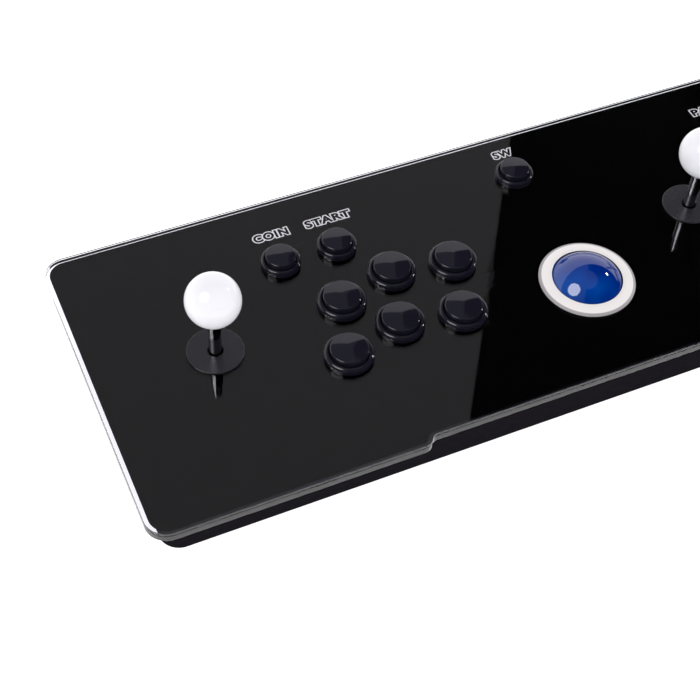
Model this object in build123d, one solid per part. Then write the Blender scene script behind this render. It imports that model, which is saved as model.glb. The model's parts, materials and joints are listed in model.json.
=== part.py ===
from build123d import *
import math
import os

# Arcade joystick panel for two players: a flat steel case under a thick two-layer acrylic top that
# carries two sticks, seventeen push buttons and a 2 1/4 inch trackball.
# Millimetres. X runs along the panel, +Y points to its back, +Z up. The origin is on the surface
# that the feet stand on, under the middle of the acrylic.

# ---- overall sizes ---------------------------------------------------------------------------
panel_length = 660.0
panel_depth = 225.0
panel_height = 64.0            # from the table to the top of the acrylic
panel_corner_radius = 14.5
foot_height = 4.0

# ---- acrylic top ------------------------------------------------------------------------------
cover_thickness = 2.0
film_thickness = 0.3
light_plate_thickness = 5.0
film_margin = 3.0              # clear strip left between the film and the acrylic's edge
recess_depth = 6.0             # how far the front edge steps back between the two wings
recess_from_end = 179.0        # middle of each step, measured from the nearer end
step_angle = 55.0
step_radius = 6.0

# ---- steel case -------------------------------------------------------------------------------
sheet = 1.5
bottom_sheet = 1.2
case_corner_radius = 14.0
side_overhang = 13.0
back_overhang = 10.0
front_overhang_top = 10.0      # the front wall leans back towards its foot
front_overhang_bottom = 23.3
flange_width = 14.0
bottom_cover_gap = 0.5

# ---- fasteners --------------------------------------------------------------------------------
screw_radius = 1.5
screw_head_radius = 2.8
screw_head_height = 1.8
screw_clearance = 0.05
stud_radius = 2.0
nut_across_flats = 7.0
nut_height = 3.2
stud_spare_length = 1.5

# ---- feet -------------------------------------------------------------------------------------
foot_radius = 10.0
foot_recess_radius = 4.0
foot_seat_height = 2.8
foot_from_end = 48.0
foot_from_front = 46.0
foot_from_back = 32.0

# ---- layout on the panel ----------------------------------------------------------------------
stick_from_end = 81.4          # left player's stick from the left end
stick_from_far_end = 228.8     # right player's stick from the right end
stick_from_front = 114.8
upper_row = [(89.4, 7.1), (130.1, 18.5), (171.9, 12.0)]   # from the stick
lower_row_shift = (-13.0, -41.4)
coin_place = (65.6, 53.3)
start_place = (105.8, 53.3)
menu_from_front = 184.5
trackball_from_front = 80.5

# ---- push buttons: thirty millimetre ones for play, twenty-four millimetre ones for service ----
action_rim_radius = 16.2
action_thread_radius = 14.8
action_plunger_radius = 12.5
small_rim_radius = 13.3
small_thread_radius = 11.9
small_plunger_radius = 10.3
rim_height = 4.8
rim_round = 1.3
rim_shoulder_width = 1.0       # sloping outer shoulder of the rim
rim_shoulder_drop = 1.7
rim_inner_width = 0.8          # sloping inner edge of the rim
rim_inner_drop = 0.9
plunger_rise = 4.4             # above the rim when it is up
plunger_edge_round = 0.9
plunger_skirt = 11.0           # height of the plunger's cap, measured down from its top
plunger_travel = 2.5
plunger_clearance = 0.3
stem_radius = 2.0
stem_clearance = 0.4
button_depth = 21.0            # body below the top of the acrylic
button_floor = 2.5
panel_hole_clearance = 0.3
nut_wall = 3.2
button_nut_height = 5.0
thread_clearance = 0.05

# ---- microswitches ----------------------------------------------------------------------------
switch_length = 20.0
switch_width = 6.5
switch_height = 12.0
switch_pocket_spare = 1.0
blade_width = 3.2
blade_thickness = 0.5
blade_length = 5.0
blade_pitch = 7.0

# ---- sticks -----------------------------------------------------------------------------------
ball_top_radius = 17.5
ball_top_above_panel = 49.2    # centre of the ball
ball_top_flat = 0.8
shaft_radius = 4.0
shaft_thread_radius = 3.0
shaft_thread_length = 11.0
stick_clearance = 0.05
tilt_limit = 8.0
pivot_depth = 18.0             # stick's pivot below the top of the acrylic
hub_radius = 8.0
hub_height = 8.0
pin_radius = 2.0
pin_clearance = 0.05
ring_inner_radius = 10.5
ring_outer_radius = 15.5
stick_cavity_radius = 17.2
ring_pin_reach = 20.4
hub_pin_reach = 14.5
actuator_radius = 9.5
actuator_height = 8.0
actuator_below_pivot = 18.0
spring_radius = 6.5
spring_wire_radius = 0.6
spring_turns = 4
clip_radius = 5.6
clip_height = 0.8
shaft_below_actuator = 4.6
shaft_tip_radius = 3.0
stick_hole_radius = 13.0       # through the acrylic and the deck
dust_washer_radius = 18.5
dust_washer_play = 1.15         # round the shaft
dust_washer_thickness = 1.0
seal_radius = 10.0             # second, smaller washer below the panel
seal_play = 2.6
seal_thickness = 1.0
washer_lift = 0.05
mounting_plate_thickness = 1.6
mounting_plate_length = 94.0
mounting_plate_width = 52.0
mounting_plate_play = 3.5
mounting_stud_x = 40.0
mounting_stud_y = 19.0
stick_base_size = 56.0
stick_base_wall = 4.0
switch_gap = 4.2               # actuator to switch, so that the tilt fits
stick_switch_height = 6.5
gate_thickness = 2.4
gate_half_opening = 8.6

# ---- trackball --------------------------------------------------------------------------------
trackball_radius = 28.575
trackball_above_panel = 13.4   # how far the ball stands out of the panel
ring_radius = 32.25
ring_lip_height = 2.4
ring_edge_height = 1.45
ring_bevel_width = 1.9         # sloping outer edge of the ring
ring_bevel_drop = 0.9
ring_mouth_radius = 23.6
ring_sleeve_wall = 1.3
ring_sleeve_in_deck = 0.7       # how far the sleeve reaches into the deck's hole
ball_gap = 0.7
roller_radius = 6.0
roller_half_length = 12.0
roller_drop_angle = 30.0       # contact point below the ball's equator
roller_contact_gap = 0.3
roller_shaft_radius = 1.5
roller_web_offset = 16.0
encoder_disc_radius = 8.0
encoder_disc_thickness = 1.0
encoder_disc_offset = 31.0
bearing_radius = 4.0
bearing_width = 3.0
idler_radius = 5.0
idler_width = 4.0
idler_post_gap = 0.6
housing_wall = 3.0
housing_side_gap = 3.3         # from the rollers to the housing's walls
housing_flange = 8.0
housing_floor_gap = 1.5
housing_window_radius = 2.5     # round windows on the ball's axis
encoder_board_gap = 4.8         # to the forward roller's bearing
encoder_board_spare_height = 3.4

# ---- electronics ------------------------------------------------------------------------------
board_length = 130.0
board_width = 60.0
board_thickness = 1.6
board_standoff = 4.0
board_hole_inset = 5.0
standoff_radius = 3.0
board_from_back_wall = 2.0
port_gap = 0.4
video_port = (15.0, 6.2)
usb_port = (14.4, 6.8)
power_jack_radius = 5.0
power_bore_radius = 3.1
power_pin_radius = 1.0
video_x = -42.0
usb_x = [-14.0, 10.0]
power_jack_x = 44.0
power_switch_x = -150.0
rocker_width = 9.0
rocker_half_height = 6.4
rocker_throw = 10.0            # each way from the middle
rocker_pin_radius = 1.0
switch_wall = 1.7

# ---- heights and places worked out from the sizes above -----------------------------------------
top_z = panel_height
film_top_z = top_z - cover_thickness
film_bottom_z = film_top_z - film_thickness
deck_top_z = film_bottom_z - light_plate_thickness
deck_bottom_z = deck_top_z - sheet
floor_bottom_z = foot_height
floor_top_z = floor_bottom_z + bottom_sheet
front_y = -panel_depth / 2
back_y = panel_depth / 2
case_back_y = back_y - back_overhang
case_half_length = panel_length / 2 - side_overhang
pivot_z = top_z - pivot_depth
plate_bottom_z = deck_bottom_z - mounting_plate_thickness
actuator_top_z = pivot_z - actuator_below_pivot
actuator_bottom_z = actuator_top_z - actuator_height
stick_base_bottom_z = actuator_bottom_z - 3.0
trackball_z = top_z + trackball_above_panel - trackball_radius
trackball_y = front_y + trackball_from_front
board_bottom_z = floor_top_z + board_standoff
board_top_z = board_bottom_z + board_thickness
board_y = case_back_y - sheet - board_from_back_wall - board_width / 2

sticks = {
    "p1": (-panel_length / 2 + stick_from_end, front_y + stick_from_front),
    "p2": (panel_length / 2 - stick_from_far_end, front_y + stick_from_front),
}
action_buttons = {}
small_buttons = {"menu": (0.0, front_y + menu_from_front)}
for player, (stick_x, stick_y) in sticks.items():
    lower_row = [(x + lower_row_shift[0], y + lower_row_shift[1]) for x, y in upper_row]
    for number, (x, y) in enumerate(upper_row + lower_row, start=1):
        action_buttons[f"{player}_{number}"] = (stick_x + x, stick_y + y)
    second_name = "coin" if player == "p1" else "pause"
    small_buttons[f"{player}_{second_name}"] = (stick_x + coin_place[0], stick_y + coin_place[1])
    small_buttons[f"{player}_start"] = (stick_x + start_place[0], stick_y + start_place[1])

standing = (Align.CENTER, Align.CENTER, Align.MIN)


# ---- small helpers ----------------------------------------------------------------------------
def post(radius, low, high, x=0.0, y=0.0):
    """A round post between two heights."""
    return Pos(x, y, low) * Cylinder(radius, high - low, align=standing)


def block(length, width, low, high, x=0.0, y=0.0):
    """A box between two heights."""
    return Pos(x, y, low) * Box(length, width, high - low, align=standing)


def rod_x(radius, start, end, y, z):
    """A round rod along X."""
    return Pos((start + end) / 2, y, z) * Rot(0, 90, 0) * Cylinder(radius, abs(end - start))


def rod_y(radius, start, end, x, z):
    """A round rod along Y."""
    return Pos(x, (start + end) / 2, z) * Rot(90, 0, 0) * Cylinder(radius, abs(end - start))


def turned(profile):
    """A solid of revolution about Z from (radius, height) points."""
    return revolve(Plane.XZ * make_face(Polyline(*profile, close=True)), Axis.Z)


def edges_at(solid, height):
    """The edges that lie flat at one height."""
    return solid.edges().filter_by(lambda edge: abs(edge.bounding_box().min.Z - height) < 1e-4
                                   and abs(edge.bounding_box().max.Z - height) < 1e-4)


def copies(solid, places):
    """One separate solid at each place."""
    return Compound(children=[Pos(x, y, 0) * solid for x, y in places])


def save(name, shape):
    export_step(shape, f"parts/{name}.step")


# ---- acrylic top ------------------------------------------------------------------------------
def panel_outline():
    """Rounded rectangle whose front edge steps back between the two wings."""
    end = panel_length / 2
    run = recess_depth / math.tan(math.radians(step_angle))
    wing = end - recess_from_end + run / 2
    middle = end - recess_from_end - run / 2
    corners = [(-end, front_y), (-wing, front_y), (-middle, front_y + recess_depth),
               (middle, front_y + recess_depth), (wing, front_y), (end, front_y),
               (end, back_y), (-end, back_y)]
    radii = [panel_corner_radius] + [step_radius] * 4 + [panel_corner_radius] * 3
    return make_face(FilletPolyline(*corners, radius=radii, close=True))


def control_holes(low, high):
    """Everything that is cut through the acrylic and the deck for the controls."""
    holes = [post(stick_hole_radius, low, high, x, y) for x, y in sticks.values()]
    holes += [post(action_thread_radius + panel_hole_clearance, low, high, x, y)
              for x, y in action_buttons.values()]
    holes += [post(small_thread_radius + panel_hole_clearance, low, high, x, y)
              for x, y in small_buttons.values()]
    holes.append(post(ring_sleeve_radius + panel_hole_clearance, low, high, 0, trackball_y))
    return holes


def panel_layer(inset, low, high):
    outline = panel_outline()
    if inset:
        outline = offset(outline, -inset)
    return Pos(0, 0, low) * extrude(outline, high - low) - control_holes(low - 1, high + 1)


# ---- steel case -------------------------------------------------------------------------------
def front_wall_y(z):
    """The front wall leans: its Y at a height."""
    lean = (front_overhang_bottom - front_overhang_top) / (deck_top_z - floor_bottom_z)
    return front_y + front_overhang_top + (deck_top_z - z) * lean


def case_block(inset, low, high):
    """The case's outer shape between two heights, drawn in by the inset on every side."""
    under = floor_bottom_z - 2
    profile = [(front_wall_y(under) + inset, under), (case_back_y - inset, under),
               (case_back_y - inset, deck_top_z), (front_wall_y(deck_top_z) + inset, deck_top_z)]
    face = Plane.YZ * make_face(Polyline(*profile, close=True))
    solid = extrude(face, case_half_length - inset, both=True)
    uprights = solid.edges().filter_by(lambda edge: abs(edge.tangent_at(0.5).Z) > 0.5)
    solid = fillet(uprights, case_corner_radius - inset)
    return solid & block(panel_length, 2 * panel_depth, low, high)


def cover_screw_places():
    """Screws through the bottom cover into the case's flange."""
    middle_of_flange = sheet + flange_width / 2
    x_end = case_half_length - middle_of_flange
    y_back = case_back_y - middle_of_flange
    y_front = front_wall_y(floor_bottom_z) + middle_of_flange
    places = [(x, y) for x in (-x_end * 2 / 3, 0, x_end * 2 / 3) for y in (y_front, y_back)]
    return places + [(side * x_end, y) for side in (-1, 1) for y in (y_front * 0.6, y_back * 0.6)]


def foot_places():
    x_end = panel_length / 2 - foot_from_end
    rows = (front_y + foot_from_front, back_y - foot_from_back)
    return [(x, y) for x in (-x_end, 0, x_end) for y in rows]


def board_screw_places():
    x_end = board_length / 2 - board_hole_inset
    y_end = board_width / 2 - board_hole_inset
    return [(x, board_y + y) for x in (-x_end, x_end) for y in (-y_end, y_end)]


def stud_places():
    """Welded studs under the deck: four for each stick and four for the trackball."""
    places = [(x + i * mounting_stud_x, y + j * mounting_stud_y)
              for x, y in sticks.values() for i in (-1, 1) for j in (-1, 1)]
    corner = housing_half + housing_flange / 2
    return places + [(i * corner, trackball_y + j * corner) for i in (-1, 1) for j in (-1, 1)]


def stud_grip(place):
    """Thickness of what a stud holds: the stick's steel plate or the trackball's plastic flange."""
    return housing_wall if abs(place[0]) <= housing_half + housing_flange else mounting_plate_thickness


def case_shell():
    shell = case_block(0, floor_bottom_z, deck_top_z) - case_block(sheet, floor_bottom_z - 1, deck_bottom_z)
    flange = case_block(sheet / 2, floor_top_z, floor_top_z + sheet) - flange_window(sheet + flange_width)
    shell += flange
    shell -= control_holes(deck_bottom_z - 1, deck_top_z + 1)
    shell -= [post(screw_radius + screw_clearance, floor_bottom_z, floor_top_z + sheet + 1, x, y)
              for x, y in cover_screw_places()]
    shell -= [block(w + 2 * port_gap, 4 * sheet, board_top_z - port_gap, board_top_z + h + port_gap,
                    x, case_back_y) for x, (w, h) in port_list()]
    shell -= rod_y(power_jack_radius + port_gap, case_back_y - 2 * sheet, case_back_y + 1,
                   power_jack_x, board_top_z + power_jack_radius)
    shell -= block(power_body_width + 2 * port_gap, 4 * sheet, power_switch_z - power_body_half - port_gap,
                   power_switch_z + power_body_half + port_gap, power_switch_x, case_back_y)
    shell -= [post(standoff_radius + 1, floor_top_z - 1, floor_top_z + sheet + 1, x, y)
              for x, y in board_screw_places()]
    shell += [post(stud_radius, deck_bottom_z - stud_grip(p) - nut_height - stud_spare_length,
                   deck_bottom_z + sheet / 2, *p) for p in stud_places()]
    return shell


def flange_window(inner):
    """The straight-sided opening inside the case's bottom flange."""
    y_low = front_wall_y(floor_bottom_z) + inner
    y_high = case_back_y - inner
    return block(2 * (case_half_length - inner), y_high - y_low, floor_top_z - 1, floor_top_z + sheet + 1,
                 0, (y_low + y_high) / 2)


def bottom_cover():
    """Flat sheet inside the case's walls, with the board's standoffs pressed into it."""
    cover = case_block(sheet + bottom_cover_gap, floor_bottom_z, floor_top_z)
    cover += [post(standoff_radius, floor_top_z - bottom_sheet / 2, board_bottom_z, x, y)
              for x, y in board_screw_places()]
    cover -= [post(screw_radius + screw_clearance, floor_bottom_z - 1, board_bottom_z + 1, x, y)
              for x, y in cover_screw_places() + foot_places() + board_screw_places()]
    return cover


def foot():
    """Turned rubber foot with a recess for its screw."""
    solid = post(foot_radius, 0, foot_height) - post(foot_recess_radius, -1, foot_seat_height)
    solid -= post(screw_radius + 0.1, -1, foot_height + 1)
    rims = [edge for edge in edges_at(solid, 0) if edge.radius > foot_recess_radius + 1]
    return fillet(rims, 1.0)


def screw(seat, tip, head_up):
    """Pan-head machine screw: its head's flat side sits at the seat height."""
    top = seat + screw_head_height if head_up else seat
    bottom = seat if head_up else seat - screw_head_height
    solid = post(screw_head_radius, bottom, top) + post(screw_radius, min(tip, seat), max(tip, seat))
    outer = top if head_up else bottom
    solid = fillet(edges_at(solid, outer), 0.7)
    for turn in (0, 90):
        slot_low = outer - 0.9 if head_up else outer
        solid -= Rot(0, 0, turn) * block(3.0, 0.7, slot_low, slot_low + 0.9)
    return solid


def machine_screws():
    below = screw(floor_bottom_z, floor_top_z + sheet + 1.5, head_up=False)
    in_foot = screw(foot_seat_height, floor_top_z + 2.5, head_up=False)
    on_board = screw(board_top_z, floor_top_z + 0.5, head_up=True)
    sets = ((below, cover_screw_places()), (in_foot, foot_places()), (on_board, board_screw_places()))
    return Compound(children=[Pos(x, y, 0) * solid for solid, places in sets for x, y in places])


def mounting_nuts():
    solids = []
    for x, y in stud_places():
        high = deck_bottom_z - stud_grip((x, y))
        hexagon = RegularPolygon(nut_across_flats / 2, 6, major_radius=False)
        nut = Pos(x, y, high - nut_height) * extrude(hexagon, nut_height)
        solids.append(nut - post(stud_radius + thread_clearance, high - nut_height - 1, high + 1, x, y))
    return Compound(children=solids)


# ---- push buttons -----------------------------------------------------------------------------
def button_body(rim_radius, thread_radius, plunger_radius):
    """Threaded barrel with a rounded rim, a bore for the plunger and a floor that guides its stem."""
    bottom = top_z - button_depth
    bore = plunger_radius + plunger_clearance
    stem_bore = stem_radius + stem_clearance
    crest_z = top_z + rim_height
    solid = turned([(bore, crest_z - rim_inner_drop), (bore + rim_inner_width, crest_z),
                    (rim_radius - rim_shoulder_width, crest_z), (rim_radius, crest_z - rim_shoulder_drop),
                    (rim_radius, top_z), (thread_radius, top_z), (thread_radius, bottom),
                    (stem_bore, bottom), (stem_bore, bottom + button_floor),
                    (bore, bottom + button_floor)])
    crest = max(edges_at(solid, crest_z), key=lambda edge: edge.radius)
    return fillet(crest, min(rim_round, (rim_radius - bore) / 3))


def button_plunger(plunger_radius):
    """Solid cap with a stem that reaches into the switch."""
    top = top_z + rim_height + plunger_rise
    stem_bottom = top_z - button_depth - switch_stem_reach
    solid = post(plunger_radius, top - plunger_skirt, top) + post(stem_radius, stem_bottom, top - 1)
    return fillet(edges_at(solid, top), plunger_edge_round)


def ring_nut(thread_radius):
    inner = thread_radius + thread_clearance
    outline = RegularPolygon(thread_radius + nut_wall, 12)
    solid = Pos(0, 0, deck_bottom_z - button_nut_height) * extrude(outline, button_nut_height)
    return solid - post(inner, deck_bottom_z - button_nut_height - 1, deck_bottom_z + 1)


def microswitch(height):
    """Switch body with three blades under it; its top is at height zero."""
    solid = block(switch_length, switch_width, -height, 0)
    solid += [block(blade_width, blade_thickness, -height - blade_length, -height + 1, i * blade_pitch)
              for i in (-1, 0, 1)]
    return solid


def button_switch():
    """The microswitch under a button, with the pocket that takes the plunger's stem."""
    pocket_depth = switch_stem_reach + plunger_travel + switch_pocket_spare
    return microswitch(switch_height) - post(stem_radius + stem_clearance, -pocket_depth, 1)


def stick_switch():
    """One of a stick's four switches, at +X of the shaft and facing it."""
    inner = actuator_radius + switch_gap
    outer = stick_base_size / 2 - stick_base_wall
    solid = block(outer - inner, switch_length, -stick_switch_height, 0, (inner + outer) / 2)
    for i in (-1, 0, 1):
        solid += block(blade_thickness, blade_width, -stick_switch_height - 1.8, -stick_switch_height + 1,
                       (inner + outer) / 2, i * blade_pitch * 0.9)
    return solid


def microswitches():
    """Every microswitch in the panel: one under each button and four round each stick."""
    under = button_switch()
    beside = stick_switch()
    button_floor_z = top_z - button_depth
    solids = [Pos(x, y, button_floor_z) * under
              for x, y in [*action_buttons.values(), *small_buttons.values()]]
    for x, y in sticks.values():
        solids += [Pos(x, y, actuator_top_z) * Rot(0, 0, turn) * beside for turn in (0, 90, 180, 270)]
    return Compound(children=solids)


# ---- sticks: each is built about its own pivot axis at X = Y = 0 ------------------------------------
def ball_top():
    centre = top_z + ball_top_above_panel
    solid = Pos(0, 0, centre) * Sphere(ball_top_radius)
    solid -= block(40, 40, centre - ball_top_radius - 1, centre - ball_top_radius + ball_top_flat)
    thread_hole = shaft_thread_radius + stick_clearance
    return solid - post(thread_hole, centre - ball_top_radius - 1, thread_top_z + 0.5)


def stick_shaft():
    """Steel shaft with its pivot hub, the hub's two cross pins and the clip in the groove below."""
    low = actuator_bottom_z - shaft_below_actuator
    solid = post(shaft_radius, actuator_top_z, thread_bottom_z)
    solid += post(shaft_thread_radius, thread_bottom_z - 1, thread_top_z)
    solid += post(shaft_tip_radius, low, actuator_top_z + 1)
    solid += post(hub_radius, pivot_z - hub_height / 2, pivot_z + hub_height / 2)
    solid += rod_y(pin_radius, -hub_pin_reach, hub_pin_reach, 0, pivot_z)
    clip_top = actuator_bottom_z - stick_clearance
    clip = post(clip_radius, clip_top - clip_height, clip_top)
    clip -= block(clip_radius, shaft_tip_radius * 1.6, clip_top - clip_height - 1, clip_top + 1,
                  shaft_tip_radius + clip_radius / 2)
    return solid + clip


def actuator():
    """Collar on the shaft's lower end that presses the switches."""
    solid = post(actuator_radius, actuator_bottom_z, actuator_top_z)
    solid = chamfer(edges_at(solid, actuator_bottom_z), 0.8)
    return solid - post(shaft_tip_radius + stick_clearance, actuator_bottom_z - 1, actuator_top_z + 1)


def stick_spring():
    """Coil spring between the pivot hub and the actuator."""
    low = actuator_top_z + spring_wire_radius + 0.2
    high = pivot_z - hub_height / 2 - spring_wire_radius - 0.2
    path = Pos(0, 0, low) * Helix((high - low) / spring_turns, high - low, spring_radius)
    section = Plane(path @ 0, z_dir=path % 0) * Circle(spring_wire_radius)
    return sweep(section, path, is_frenet=True)


def gimbal_ring():
    """Ring that turns about X in the base and carries the hub's pins along Y."""
    half = hub_height / 2
    solid = post(ring_outer_radius, pivot_z - half, pivot_z + half)
    for side in (-1, 1):
        solid += rod_x(pin_radius, side * (ring_outer_radius - 1), side * ring_pin_reach, 0, pivot_z)
    solid -= post(ring_inner_radius, pivot_z - half - 1, pivot_z + half + 1)
    across = ring_outer_radius + 1
    return solid - rod_y(pin_radius + pin_clearance, -across, across, 0, pivot_z)


def stick_base():
    """Moulded housing: a round cavity for the gimbal over a square one for the switches."""
    half = stick_base_size / 2
    bore_end = ring_pin_reach + 0.4
    solid = block(stick_base_size, stick_base_size, stick_base_bottom_z, plate_bottom_z)
    solid = fillet(solid.edges().filter_by(Axis.Z), 4.0)
    cavity = 2 * (half - stick_base_wall)
    solid -= block(cavity, cavity, stick_base_bottom_z - 1, stick_base_shelf_z)
    solid -= post(stick_cavity_radius, stick_base_shelf_z - 1, plate_bottom_z + 1)
    return solid - rod_x(pin_radius + pin_clearance, -bore_end, bore_end, 0, pivot_z)


def gate_plate():
    """Restrictor plate under the base: its square opening ends the shaft's swing."""
    low = stick_base_bottom_z - gate_thickness
    solid = block(stick_base_size, stick_base_size, low, stick_base_bottom_z)
    solid = fillet(solid.edges().filter_by(Axis.Z), 4.0)
    return solid - block(2 * gate_half_opening, 2 * gate_half_opening, low - 1, stick_base_bottom_z + 1)


def mounting_plate():
    solid = block(mounting_plate_length, mounting_plate_width, plate_bottom_z, deck_bottom_z)
    solid = fillet(solid.edges().filter_by(Axis.Z), 5.0)
    low, high = plate_bottom_z - 1, deck_bottom_z + 1
    solid -= [post(stud_radius + 0.2, low, high, i * mounting_stud_x, j * mounting_stud_y)
              for i in (-1, 1) for j in (-1, 1)]
    return solid - post(shaft_radius + mounting_plate_play, low, high)


def washer(radius, hole_radius, low, thickness, edge):
    solid = post(radius, low, low + thickness) - post(hole_radius, low - 1, low + thickness + 1)
    rims = [rim for rim in edges_at(solid, low + thickness) if rim.radius > radius - 0.1]
    return chamfer(rims, edge)


def seal_washer():
    low = deck_bottom_z + washer_lift
    return washer(seal_radius, shaft_radius + seal_play, low, seal_thickness, 0.2)


def dust_washer():
    low = top_z + washer_lift
    return washer(dust_washer_radius, shaft_radius + dust_washer_play, low, dust_washer_thickness, 0.3)


# ---- trackball: built about the ball's centre line at X = 0 ----------------------------------------
def trackball_ring():
    """Bezel: an outer flange, a raised lip round the ball and a sleeve through the panel."""
    lip = top_z + ring_lip_height
    edge = top_z + ring_edge_height
    solid = turned([(ring_mouth_radius - 1, lip), (ring_mouth_radius + 2.4, lip),
                    (ring_radius - ring_bevel_width, edge), (ring_radius, edge - ring_bevel_drop),
                    (ring_radius, top_z),
                    (ring_sleeve_radius, top_z), (ring_sleeve_radius, ring_sleeve_bottom_z),
                    (ring_mouth_radius - 1, ring_sleeve_bottom_z)])
    solid -= Pos(0, 0, trackball_z) * Sphere(trackball_radius + ball_gap)
    solid -= post(ring_mouth_radius, trackball_z, top_z + ring_lip_height + 1)
    return Pos(0, trackball_y, 0) * solid


def roller(disc_reach):
    """Roller with its shaft and slotted encoder disc, along X with the ball's contact at X = 0."""
    solid = rod_x(roller_radius, -roller_half_length, roller_half_length, 0, 0)
    solid += rod_x(roller_shaft_radius, -roller_web_offset - bearing_width, housing_half, 0, 0)
    disc = rod_x(encoder_disc_radius, disc_reach, disc_reach + encoder_disc_thickness, 0, 0)
    disc -= [Rot(turn, 0, 0) * Pos(disc_reach, 0, encoder_disc_radius - 1) * Box(6, 0.8, 1.4)
             for turn in range(0, 360, 30)]
    return solid + disc


def roller_places():
    """Where the two rollers lie: the forward one at the ball's front, the side one at its left."""
    forward = Pos(0, trackball_y - roller_out, roller_z)
    side = Pos(-roller_out, trackball_y, roller_z) * Rot(0, 0, 90)
    return forward, side


def idler_place():
    return Pos(idler_out, trackball_y + idler_out, idler_z) * Rot(0, 0, -45)


def idler_roller():
    """Plain wheel with stub axles, on the diagonal opposite the two rollers."""
    solid = rod_x(idler_radius, -idler_width / 2, idler_width / 2, 0, 0)
    solid += rod_x(roller_shaft_radius, -idler_post_out, idler_post_out, 0, 0)
    return idler_place() * solid


def roller_bearings():
    """Four plain bearings that carry the two rollers' shafts."""
    solids = []
    for place in roller_places():
        for start in (-roller_web_offset - bearing_width, housing_half - housing_wall):
            bearing = rod_x(bearing_radius, start, start + bearing_width, 0, 0)
            bearing -= rod_x(roller_shaft_radius + pin_clearance, start - 1, start + bearing_width + 1, 0, 0)
            solids.append(place * bearing)
    return Compound(children=solids)


def trackball_housing():
    """Open-topped tray that hangs under the deck and carries the ball's rollers."""
    y = trackball_y
    outer = 2 * housing_half
    inner = outer - 2 * housing_wall
    flange = outer + 2 * housing_flange
    solid = block(outer, outer, housing_floor_z - housing_wall, deck_bottom_z, 0, y)
    solid += block(flange, flange, deck_bottom_z - housing_wall, deck_bottom_z, 0, y)
    solid -= block(inner, inner, housing_floor_z, deck_bottom_z - housing_wall, 0, y)
    low, high = deck_bottom_z - housing_wall - 1, deck_bottom_z + 1
    solid -= post(ring_sleeve_radius + panel_hole_clearance, low, high, 0, y)
    for place in roller_places():
        web = block(bearing_width, 2 * bearing_radius + 4, housing_floor_z - roller_z - 1, bearing_radius + 2,
                    -roller_web_offset - bearing_width / 2)
        solid += place * web
        for start, end in ((-roller_web_offset - bearing_width, -roller_web_offset),
                           (housing_half - housing_wall, housing_half)):
            solid -= place * rod_x(bearing_radius, start - 1, end + 1, 0, 0)
    for side in (-1, 1):
        middle = side * (idler_width / 2 + idler_post_gap + 1.5)
        solid += idler_place() * block(3, 6, housing_floor_z - idler_z - 1, 2.5, middle)
    solid -= idler_place() * rod_x(roller_shaft_radius + pin_clearance, -idler_post_out, idler_post_out, 0, 0)
    solid -= post(4.0, housing_floor_z - housing_wall - 1, housing_floor_z + 1, 0, y)
    solid -= rod_x(housing_window_radius, -housing_half - 1, housing_half + 1, y, trackball_z)
    holes = [place for place in stud_places() if stud_grip(place) == housing_wall]
    solid -= [post(stud_radius + 0.2, low, high, *place) for place in holes]
    return solid


def encoder_board():
    """Small board on the housing's outer wall between the bearings, as high as the encoder disc."""
    half_length = roller_out - bearing_radius - encoder_board_gap
    high = roller_z + encoder_disc_radius + encoder_board_spare_height
    return block(board_thickness, 2 * half_length, housing_floor_z, high,
                 housing_half + board_thickness / 2, trackball_y)


# ---- electronics at the back ------------------------------------------------------------------
def port_list():
    """Centre and size of each flat port on the board."""
    return [(video_x, video_port)] + [(x, usb_port) for x in usb_x]


def main_board():
    board = block(board_length, board_width, board_bottom_z, board_top_z, 0, board_y)
    board -= [post(screw_radius + 0.1, board_bottom_z - 1, board_top_z + 1, *place)
              for place in board_screw_places()]
    board += block(16, 16, board_top_z - 0.5, board_top_z + 1.4, -18, board_y - 6)
    board += block(12, 9, board_top_z - 0.5, board_top_z + 1.1, 14, board_y - 8)
    board += [post(3.2, board_top_z - 0.5, board_top_z + 7, x, board_y - 12) for x in (38, 48)]
    return board


def port_shell(x, size, tongue_above):
    """Flat metal socket open to the back, with its contact tongue."""
    width, height = size
    start = case_back_y - 13.0
    y = (start + case_back_y) / 2
    solid = block(width, case_back_y - start, board_top_z, board_top_z + height, x, y)
    low, high = board_top_z + 0.5, board_top_z + height - 0.5
    solid -= block(width - 1.0, case_back_y - start, low, high, x, y + 1.5)
    tongue = board_top_z + tongue_above
    return solid + block(width - 3.4, 9.5, tongue, tongue + 1.6, x, start + 5.75)


def power_jack():
    """Round inlet for the supply's plug, with its centre pin."""
    z = board_top_z + power_jack_radius
    start = case_back_y - 12.0
    solid = rod_y(power_jack_radius, start, case_back_y, power_jack_x, z)
    solid -= rod_y(power_bore_radius, start + 3, case_back_y + 1, power_jack_x, z)
    return solid + rod_y(power_pin_radius, start + 2, case_back_y - 1.5, power_jack_x, z)


def power_switch():
    """Snap-in frame of the rocker switch in the back wall."""
    z = power_switch_z
    face = case_back_y + 1.5
    depth = 15.0
    body = power_body_half
    bezel = body + 1.5
    opening = rocker_half_height + 1.2
    solid = block(power_body_width, depth, z - body, z + body, power_switch_x, face - depth / 2)
    solid += block(power_body_width + 3, 1.5, z - bezel, z + bezel, power_switch_x, face - 0.75)
    solid -= block(rocker_width + 0.8, 8.0, z - opening, z + opening, power_switch_x, face - 3.5)
    pin = rocker_width / 2 + 1.2
    return solid - rod_x(rocker_pin_radius + pin_clearance, power_switch_x - pin, power_switch_x + pin,
                         rocker_pivot_y, z)


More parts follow.
